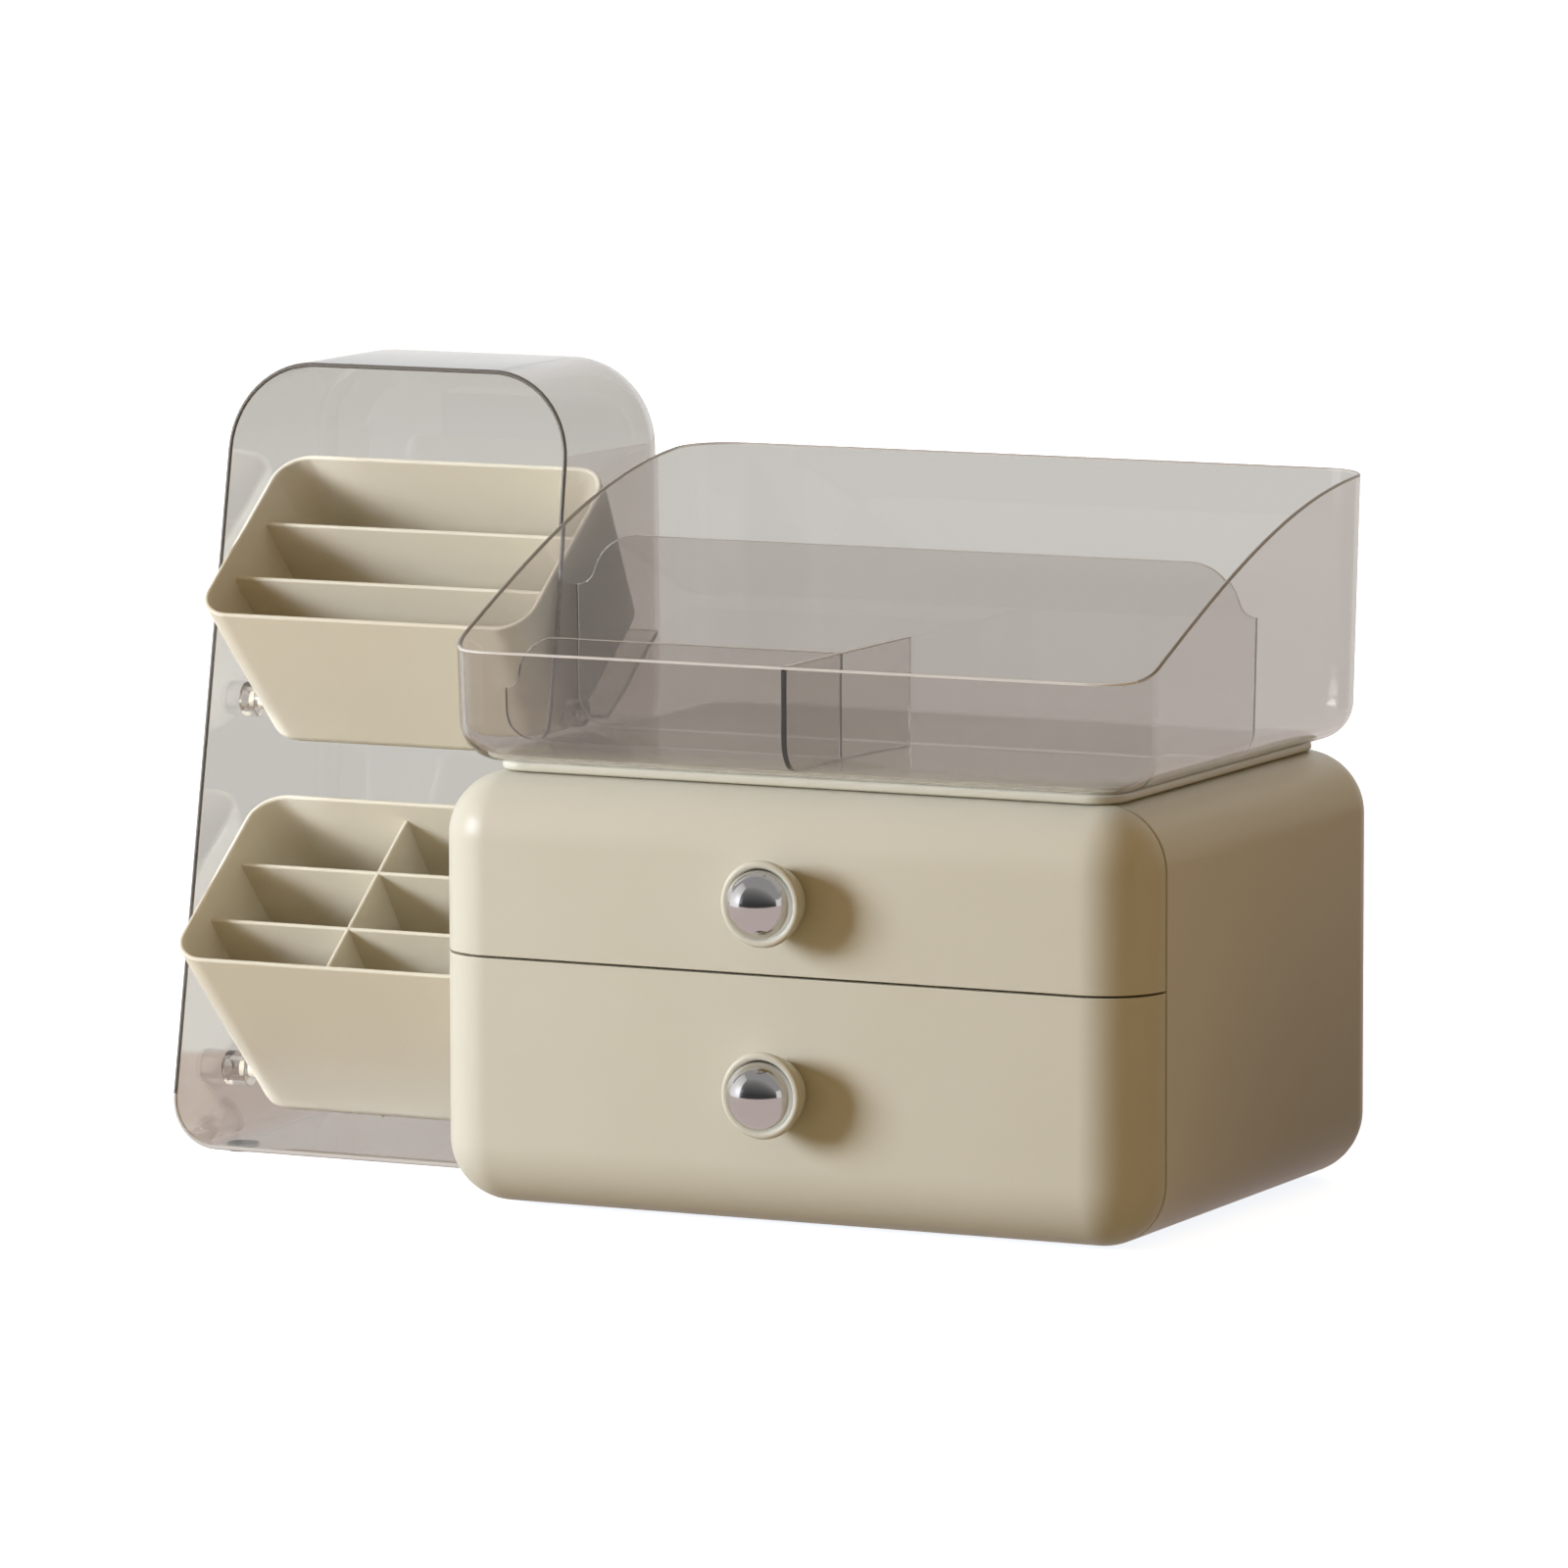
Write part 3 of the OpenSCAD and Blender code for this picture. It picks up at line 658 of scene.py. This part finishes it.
def plate(name, outline_points, place, thickness, body, node, upright="x"):
    """A flat clear plate. Its outline's first number runs along X or Y, and its second up."""
    bm = bmesh.new()
    faces = []
    for offset in (0, thickness):
        if upright == "x":
            points = [(u, place + offset, z) for u, z in outline_points]
        else:
            points = [(place + offset, u, z) for u, z in outline_points]
        faces.append([bm.verts.new(point) for point in points])
    count = len(outline_points)
    for k in range(count):
        after = (k + 1) % count
        bm.faces.new((faces[0][k], faces[0][after], faces[1][after], faces[1][k]))
    bm.faces.new(faces[0])
    bm.faces.new(faces[1])
    piece = add_piece(name, mesh_from(name, bm), "smoke_clear", body, node, bevel=0.45 * MM)
    # The dividers' top edges get a painted highlight.
    piece.data.materials.append(EDGE_PAINTED_HIGHLIGHT)
    for polygon in piece.data.polygons:
        if polygon.normal.z > 0.3:
            polygon.material_index = 1


def build_dividers():
    middle = (TRAY_X0 + TRAY_X1) / 2
    floor_r = TRAY_FLOOR_R - TRAY_WALL
    rear_low, rear_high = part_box("rear_divider")
    front_low, front_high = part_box("front_divider")
    centre_low, centre_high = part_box("centre_divider")
    floor_z = rear_low.z
    gap = 0.3 * MM

    def wall_x(height):
        return TRAY_X0 + TRAY_WALL + gap - height * TRAY_DRAFT

    side = rear_high.z - 19 * MM
    left = low_corner(wall_x(floor_r), floor_z, floor_r) + shoulder(rear_low.x, side, 25 * MM, 19 * MM)
    line = left + mirrored(left, middle)
    plate("rear_pane", line, rear_low.y, rear_high.y - rear_low.y, "tray", "rear_divider")
    side = front_high.z - 19 * MM
    left = low_corner(wall_x(floor_r), floor_z, floor_r) + shoulder(front_low.x, side, 20 * MM, 19 * MM)
    left += [(front_high.x, front_high.z), (front_high.x, floor_z)]
    plate("front_pane", left, front_low.y, front_high.y - front_low.y, "tray", "front_divider")
    line = low_corner(centre_low.y, floor_z, floor_r)
    line += [(centre_low.y, centre_high.z), (centre_high.y, centre_high.z), (centre_high.y, floor_z)]
    wide = centre_high.x - centre_low.x
    plate("centre_pane", line, centre_low.x, wide, "tray", "centre_divider", upright="y")


# ---------------------------------------------------------------- the rack

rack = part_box("rack_shell")
RACK_TAPER = math.radians(0.75)
RACK_LEAN = math.tan(math.radians(9.8))
RACK_TOP_R = 33 * MM
RACK_BASE_R = 19.3 * MM
RACK_BACK_R = 17.5 * MM
RACK_WALL = 1.7 * MM
RACK_X = (rack[0].x + rack[1].x) / 2
RACK_Z0, RACK_Z1 = rack[0].z, rack[1].z
RACK_Y0, RACK_Y1 = rack[0].y, rack[1].y
RACK_HALF = (rack[1].x - rack[0].x) / 2 + RACK_BASE_R * math.tan(RACK_TAPER)


def rack_half(height):
    return RACK_HALF - height * math.tan(RACK_TAPER)


def rack_outline(inset, grow=0.0):
    """Points round the rack's front view, from its lower left, as (x, z)."""
    height = RACK_Z1 - RACK_Z0
    points = []
    taper = math.degrees(RACK_TAPER)
    top_c, base_c = height - RACK_TOP_R, RACK_BASE_R
    spans = (
        (-1, base_c, RACK_BASE_R, 180 - taper, 270),
        (1, base_c, RACK_BASE_R, 270, 360 + taper),
        (1, top_c, RACK_TOP_R, taper, 90),
        (-1, top_c, RACK_TOP_R, 90, 180 - taper),
    )
    upright_steps = 24
    for k, (side, z, radius, start, end) in enumerate(spans):
        x = side * (rack_half(z) - radius)
        here = [
            (RACK_X + x + (radius - inset) * math.cos(a), RACK_Z0 + z + (radius - inset) * math.sin(a))
            for a in arc(start, end, CORNER_STEPS)
        ]
        points += here
        ahead_side, ahead_z, ahead_radius, ahead_start, _ = spans[(k + 1) % 4]
        a = math.radians(ahead_start)
        goal = (
            RACK_X + ahead_side * (rack_half(ahead_z) - ahead_radius) + (ahead_radius - inset) * math.cos(a),
            RACK_Z0 + ahead_z + (ahead_radius - inset) * math.sin(a),
        )
        count = upright_steps if k % 2 else 2
        for j in range(1, count):
            share = j / count
            last = here[-1]
            points.append((last[0] + (goal[0] - last[0]) * share, last[1] + (goal[1] - last[1]) * share))
    return points


def rack_ring(inset, depth):
    """One ring of the rack, at a distance before its back."""
    return [(x, RACK_Y1 - depth, z) for x, z in rack_outline(inset)]


def rack_front_ring(inset, back):
    """One ring along the rack's leaning front, a distance back from it."""
    return [(x, RACK_Y0 + (z - RACK_Z0) * RACK_LEAN + back, z) for x, z in rack_outline(inset)]


def build_rack():
    rings = [rack_ring(inset, depth) for inset, depth in rounding(RACK_BACK_R, RACK_WALL, 10)]
    half = RACK_WALL / 2
    rim = [rack_front_ring(inset, half - rise) for inset, rise in rolled(RACK_WALL)]
    within = [rack_ring(inset, depth) for inset, depth in rounding(RACK_BACK_R, RACK_WALL, 10, inner=True)]
    mesh = skin("clear_rack", rings + rim + within)
    piece = add_piece("clear_rack", mesh, "smoke_clear", "rack", "rack_shell")
    corner = RACK_Z0 + RACK_BASE_R
    # Painted shade on the rack's rim above its lower corners, and a painted highlight round its base.
    rim_finish(piece, RACK_RIM_PAINTED_SHADE, len(rings), len(rim) - 1, lambda middle: middle.z > corner)
    rim_finish(piece, EDGE_PAINTED_HIGHLIGHT, len(rings), len(rim) - 1, lambda middle: middle.z <= corner)


# ---------------------------------------------------------------- the bins

BIN_TILT = math.radians(36.7)
BIN_LENGTH = 90 * MM
BIN_WALL = 2.0 * MM
BIN_CORNER = 13.6 * MM
BIN_EDGE_R = 6 * MM
BIN_SIDE_DRAFT = 0.10
BIN_FRONT_DRAFT = 0.055
BIN_DIVIDER = 1.8 * MM
BIN_DIVIDER_DROP = 8.5 * MM
PIN_RADIUS = 3 * MM
PIN_PLAY = 0.06 * MM
PIN_PLACE = 14 * MM
PIN_REACH = 4.5 * MM
BOSS_RADIUS = 6.5 * MM
BOSS_GAP = 1.1 * MM
RAIL_LAP = 4 * MM
RAIL_THICK = 2.4 * MM
RAIL_GAP = 0.3 * MM
RAIL_START, RAIL_END = 28 * MM, 78 * MM
ROD_STEPS = 40


def bin_ring(half, inset, depth):
    """One ring of a bin, upright, at a depth below its rim. Y runs from its front."""
    x = half - BIN_SIDE_DRAFT * depth - inset
    plan = outline(-x, x, BIN_FRONT_DRAFT * depth + inset, BIN_LENGTH - inset, BIN_CORNER - inset, 2, 2)
    return [Vector((x, y, -depth)) for x, y in plan]


def build_bin(node, depth, front_rim, cross):
    low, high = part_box(node)
    middle_x = (low.x + high.x) / 2
    frame_at = Matrix.Translation((middle_x, front_rim[0], front_rim[1])) @ Matrix.Rotation(BIN_TILT, 4, "X")
    half = (high.x - low.x) / 2
    shape = []
    for inset, rise in rounding(BIN_EDGE_R, BIN_WALL, 6):
        shape.append(bin_ring(half, inset, depth - rise))
    for inset, rise in rolled(BIN_WALL, 8):
        shape.append(bin_ring(half, inset, BIN_WALL / 2 - rise))
    for inset, rise in rounding(BIN_EDGE_R, BIN_WALL, 6, inner=True):
        shape.append(bin_ring(half, inset, depth - rise))
    mesh = skin(node + "_tub", [[frame_at @ p for p in ring] for ring in shape])
    add_piece(node + "_tub", mesh, "beige_bin", node, node)

    divider_base = depth - BIN_WALL / 2
    slope_base = half - BIN_SIDE_DRAFT * divider_base - BIN_WALL * 0.6
    slope_top = half - BIN_SIDE_DRAFT * BIN_DIVIDER_DROP - BIN_WALL * 0.6
    bm = bmesh.new()
    for row in (1, 2):
        y = BIN_LENGTH * row / 3
        panel = ((-slope_base, -divider_base), (slope_base, -divider_base),
                 (slope_top, -BIN_DIVIDER_DROP), (-slope_top, -BIN_DIVIDER_DROP))
        add_panel(bm, [Vector((x, y - BIN_DIVIDER / 2, z)) for x, z in panel], Vector((0, BIN_DIVIDER, 0)))
    if cross is not None:
        front_base = BIN_FRONT_DRAFT * divider_base + BIN_WALL * 0.6
        front_top = BIN_FRONT_DRAFT * BIN_DIVIDER_DROP + BIN_WALL * 0.6
        back = BIN_LENGTH - BIN_WALL * 0.6
        panel = ((front_base, -divider_base), (back, -divider_base), (back, -BIN_DIVIDER_DROP),
                 (front_top, -BIN_DIVIDER_DROP))
        corners = [Vector((cross - BIN_DIVIDER / 2, y, z)) for y, z in panel]
        add_panel(bm, corners, Vector((BIN_DIVIDER, 0, 0)))
    bmesh.ops.transform(bm, matrix=frame_at, verts=bm.verts[:])
    add_piece(node + "_rows", mesh_from(node + "_rows", bm), "beige_bin", node, node, bevel=0.7 * MM)

    pin_x = half - BIN_SIDE_DRAFT * (depth - PIN_PLACE)
    for side, name in ((-1, "_left_pin"), (1, "_right_pin")):
        inner, outer = side * (pin_x - BIN_WALL / 2), side * (pin_x + PIN_REACH)
        bm = rod(inner, outer, PIN_PLACE, PIN_PLACE - depth, PIN_RADIUS)
        bmesh.ops.transform(bm, matrix=frame_at, verts=bm.verts[:])
        add_piece(node + name, mesh_from(node + name, bm), "beige_bin", node, node, bevel=0.5 * MM)
    build_supports(node, frame_at, half, depth)


def rod(x0, x1, y, z, radius, hole=0.0):
    """A round bar along X, or a tube if it has a hole."""
    bm = bmesh.new()
    rings = [(x0, radius), (x1, radius)]
    if hole:
        rings += [(x1, hole), (x0, hole)]
    turns = arc(0, 360 - 360 / ROD_STEPS, ROD_STEPS - 1)
    rows = [
        [bm.verts.new((x, y + r * math.cos(a), z + r * math.sin(a))) for a in turns]
        for x, r in rings
    ]
    closed = rows + rows[:1] if hole else rows
    for row, following in zip(closed, closed[1:]):
        for k in range(ROD_STEPS):
            after = (k + 1) % ROD_STEPS
            bm.faces.new((row[k], row[after], following[after], following[k]))
    if not hole:
        bm.faces.new(rows[0])
        bm.faces.new(rows[-1])
    return bm


def build_supports(node, frame_at, half, depth):
    """The clear bosses that a bin's pins turn in, and the rails under it, on the rack's side walls."""
    pin_at = frame_at @ Vector((0, PIN_PLACE, PIN_PLACE - depth))
    wall_x = rack_half(pin_at.z - RACK_Z0) - RACK_WALL
    boss_x = half - BIN_SIDE_DRAFT * (depth - PIN_PLACE) + BOSS_GAP
    for side, name in ((-1, "_left"), (1, "_right")):
        hole = PIN_RADIUS + PIN_PLAY
        bm = rod(side * boss_x, side * wall_x, PIN_PLACE, PIN_PLACE - depth, BOSS_RADIUS, hole)
        bmesh.ops.transform(bm, matrix=frame_at, verts=bm.verts[:])
        piece_name = node + name + "_boss"
        add_piece(piece_name, mesh_from(piece_name, bm), "smoke_clear", "rack", "rack_shell", bevel=0.3 * MM)

        rail_x = half - BIN_SIDE_DRAFT * depth - RAIL_LAP
        z = -depth - RAIL_GAP - RAIL_THICK
        ends = []
        for y in (RAIL_START, RAIL_END):
            outer = rack_half((frame_at @ Vector((0, y, z))).z - RACK_Z0) - RACK_WALL
            ends.append([Vector((side * x, y, z)) for x in (rail_x, outer)])
        bm = bmesh.new()
        corners = [ends[0][0], ends[0][1], ends[1][1], ends[1][0]]
        add_panel(bm, corners, Vector((0, 0, RAIL_THICK)))
        bmesh.ops.transform(bm, matrix=frame_at, verts=bm.verts[:])
        piece_name = node + name + "_rail"
        add_piece(piece_name, mesh_from(piece_name, bm), "smoke_clear", "rack", "rack_shell", bevel=0.4 * MM)


def add_panel(bm, corners, through):
    """A flat panel: four corners, and how far it reaches through its thickness."""
    near = [bm.verts.new(c) for c in corners]
    far = [bm.verts.new(c + through) for c in corners]
    bm.faces.new(near)
    bm.faces.new(far)
    for k in range(4):
        after = (k + 1) % 4
        bm.faces.new((near[k], near[after], far[after], far[k]))


BIN_REACH = 22 * MM
UPPER_RIM = 198.7 * MM
LOWER_RIM = 72.4 * MM
UPPER_BIN_DEPTH = 70 * MM
LOWER_BIN_DEPTH = 85 * MM
CROSS_AT = -8 * MM


def rim_place(height):
    return (RACK_Y0 + height * RACK_LEAN - BIN_REACH, RACK_Z0 + height)


# ---------------------------------------------------------------- stage

FILL = (0.38, 0.268, 0.14)
THROUGH_GLASS = (0.72, 0.727, 0.703)
IN_METAL = (0.77, 0.66, 0.64)
# Painted shade: the dark grey that the room cards show to rays through clear plastic, darkening the clear
# pieces' edges.
EDGE_PAINTED_SHADE = (0.26, 0.24, 0.225)
# Painted shade: a brown strip of floor under and behind the object, seen only through clear plastic.
PAINTED_SHADE_BROWN = (0.49, 0.41, 0.365)
SHADE_STRIP_START = (-0.15, -0.1)
SHADE_STRIP_END = (0.308, 0.324)
KEY_COLOUR = (0.92, 1.0, 1.13)
BACK_COLOUR = (0.95, 1.0, 1.1)


def add_card(name, corners, low, high, reach, kind):
    """A glowing card that only one kind of ray sees. Its light runs from low to high over a height."""
    bm = bmesh.new()
    bm.faces.new([bm.verts.new(corner) for corner in corners])
    card = bpy.data.objects.new(name, mesh_from(name, bm))
    bpy.context.scene.collection.objects.link(card)
    paint = Paint(name)
    height = paint.node("ShaderNodeSeparateXYZ", inputs={0: paint.place()}, output=2)
    limits = {"Value": height, "From Min": reach[0], "From Max": reach[1]}
    share = paint.node("ShaderNodeMapRange", inputs=limits)
    colour = paint.blend(share, (low, low, low, 1), (high, high, high, 1))
    through = paint.node("ShaderNodeLightPath", output="Is Transmission Ray")
    # Through clear plastic the cards show a dark grey, painted shade for the clear pieces' edges.
    colour = paint.blend(through, colour, (*EDGE_PAINTED_SHADE, 1))
    card.data.materials.append(paint.surface(paint.node("ShaderNodeEmission", inputs={"Color": colour})))
    card.visible_camera = False
    card.visible_transmission = False
    card.visible_shadow = False
    card.visible_diffuse = kind == "diffuse"
    card.visible_glossy = kind == "glossy"


def add_cards():
    """What mirror-like pieces show of a room, and a dark card that deepens the shade beside the cabinet."""
    wall, side, top, back = -1.5, 9.0, 3.0, 1.5
    room = ((-side, wall, 0.002), (side, wall, 0.002), (side, wall, top), (-side, wall, top))
    add_card("room_wall", room, 0.06, 0.42, (0.3, top), "glossy")
    ceiling = ((-side, wall, top), (side, wall, top), (side, back, top), (-side, back, top))
    add_card("room_ceiling", ceiling, 0.42, 0.42, (0, top), "glossy")
    window = ((-0.80, -0.90, 0.0), (-1.20, -0.05, 0.0), (-1.20, -0.05, 1.5), (-0.80, -0.90, 1.5))
    add_card("room_window", window, 1.2, 0.7, (0.3, 1.5), "glossy")
    shade = ((0.33, -0.02, 0.001), (0.33, 0.40, 0.001), (0.33, 0.40, 0.10), (0.33, -0.02, 0.10))
    add_card("side_shade", shade, 0.0, 0.0, (0, top), "diffuse")


def add_lamp(name, at, target, power, width, height, colour):
    data = bpy.data.lights.new(name, "AREA")
    data.energy = power
    data.color = colour
    data.shape = "RECTANGLE"
    data.size = width
    data.size_y = height
    lamp = bpy.data.objects.new(name, data)
    bpy.context.scene.collection.objects.link(lamp)
    lamp.location = at
    lamp.rotation_euler = (Vector(target) - Vector(at)).to_track_quat("-Z", "Y").to_euler()
    return lamp


def add_lamps():
    """The key lamp at the left, and a weaker one behind that only lights surfaces."""
    add_lamp("key", (-2.33, -1.70, 0.76), (0.03, -0.05, 0.1), 104, 1.2, 1.0, KEY_COLOUR)
    behind = add_lamp("behind", (-0.7, 2.7, 1.1), (0.0, 0.1, 0.15), 26, 1.4, 1.4, BACK_COLOUR)
    behind.visible_transmission = False
    behind.visible_glossy = False


def add_world():
    """White to the camera and in mirrors, a pale grey behind clear plastic, and a warm fill on surfaces."""
    world = bpy.data.worlds.new("studio")
    bpy.context.scene.world = world
    world.use_nodes = True
    paint = Paint.on(world.node_tree)
    fill, white, grey = [
        paint.node("ShaderNodeBackground", inputs={"Color": (*colour, 1)})
        for colour in (FILL, (1, 1, 1), THROUGH_GLASS)
    ]
    shown = by_ray(paint, fill, white, grey, white)
    output = paint.tree.nodes.new("ShaderNodeOutputWorld")
    paint.tree.links.new(shown.socket, output.inputs["Surface"])


def by_ray(paint, plain, white, through, mirrored):
    """Picks a shader by the kind of ray: for the camera, through clear plastic, in a mirror, or plain."""
    camera = paint.node("ShaderNodeLightPath", output="Is Camera Ray")
    transmission = paint.node("ShaderNodeLightPath", output="Is Transmission Ray")
    glossy = paint.node("ShaderNodeLightPath", output="Is Glossy Ray")
    shown = paint.node("ShaderNodeMixShader", inputs={0: glossy, 1: plain, 2: mirrored})
    shown = paint.node("ShaderNodeMixShader", inputs={0: transmission, 1: shown, 2: through})
    return paint.node("ShaderNodeMixShader", inputs={0: camera, 1: shown, 2: white})


def glowing(paint, paleness, glow):
    """A lit surface that also glows, so that it looks pale and still shows a shadow."""
    lit = paint.node("ShaderNodeBsdfDiffuse", inputs={"Color": (paleness, paleness, paleness, 1)})
    colour = glow if isinstance(glow, Field) else (*glow, 1)
    light = paint.node("ShaderNodeEmission", inputs={"Color": colour})
    return paint.node("ShaderNodeAddShader", inputs={0: lit, 1: light})


def painted_shade_strip(paint):
    """1 on a strip of the floor under and behind the object, at a fixed place, and 0 elsewhere: where painted
    shade lies on the floor.
    """
    inputs = {0: paint.place()}
    x, y = [paint.node("ShaderNodeSeparateXYZ", inputs=inputs, output=k) for k in (0, 1)]
    away = math.radians(CAMERA_AZIMUTH)
    distance = math.cos(away) * y - math.sin(away) * x
    begun, ended = [
        paint.node("ShaderNodeMapRange", inputs={"Value": distance, "From Min": low, "From Max": high})
        for low, high in (SHADE_STRIP_START, SHADE_STRIP_END)
    ]
    return begun - ended


def floor_material():
    """A pale table: almost white to the camera, with the object's shadow left in it."""
    paint = Paint("floor")
    white = glowing(paint, 0.8, (0.85, 0.88, 0.92))
    backdrop = [0.91 * value for value in THROUGH_GLASS]
    # Seen through clear plastic, the floor shows a brown painted shade in a strip under and behind the
    # object.
    through = glowing(paint, 0.06, paint.blend(painted_shade_strip(paint), (*backdrop, 1), (*PAINTED_SHADE_BROWN, 1)))
    mirrored = glowing(paint, 0.1, [0.88 * value for value in IN_METAL])
    plain = paint.node("ShaderNodeBsdfDiffuse", inputs={"Color": (0.5, 0.42, 0.27, 1)})
    return paint.surface(by_ray(paint, plain, white, through, mirrored))


def build_stage():
    reach = 8.0
    bm = bmesh.new()
    corners = ((-reach, -reach), (reach, -reach), (reach, reach), (-reach, reach))
    bm.faces.new([bm.verts.new((x, y, 0)) for x, y in corners])
    floor = bpy.data.objects.new("floor", mesh_from("floor", bm))
    bpy.context.scene.collection.objects.link(floor)
    floor.data.materials.append(floor_material())
    add_lamps()
    add_cards()


def light_paths():
    """Enough bounces for a view through every clear wall."""
    settings = bpy.context.scene.cycles
    settings.max_bounces = 48
    settings.transmission_bounces = 48
    settings.transparent_max_bounces = 32


# ---------------------------------------------------------------- the whole

add_camera()
for node, obj in frame["nodes"].items():
    slot = next(s["material_slot"] for s in frame["record"]["subparts"] if s["node"] == node)
    obj.data.materials.clear()
    obj.data.materials.append(MATERIALS[slot])
build_cabinet()
build_knob("upper")
build_knob("lower")
build_tray()
build_dividers()
build_rack()
build_bin("upper_bin", UPPER_BIN_DEPTH, rim_place(UPPER_RIM), None)
build_bin("lower_bin", LOWER_BIN_DEPTH, rim_place(LOWER_RIM), CROSS_AT)
build_stage()
add_world()
light_paths()
bpy.context.scene.view_settings.view_transform = "Standard"

bpy.context.view_layer.update()
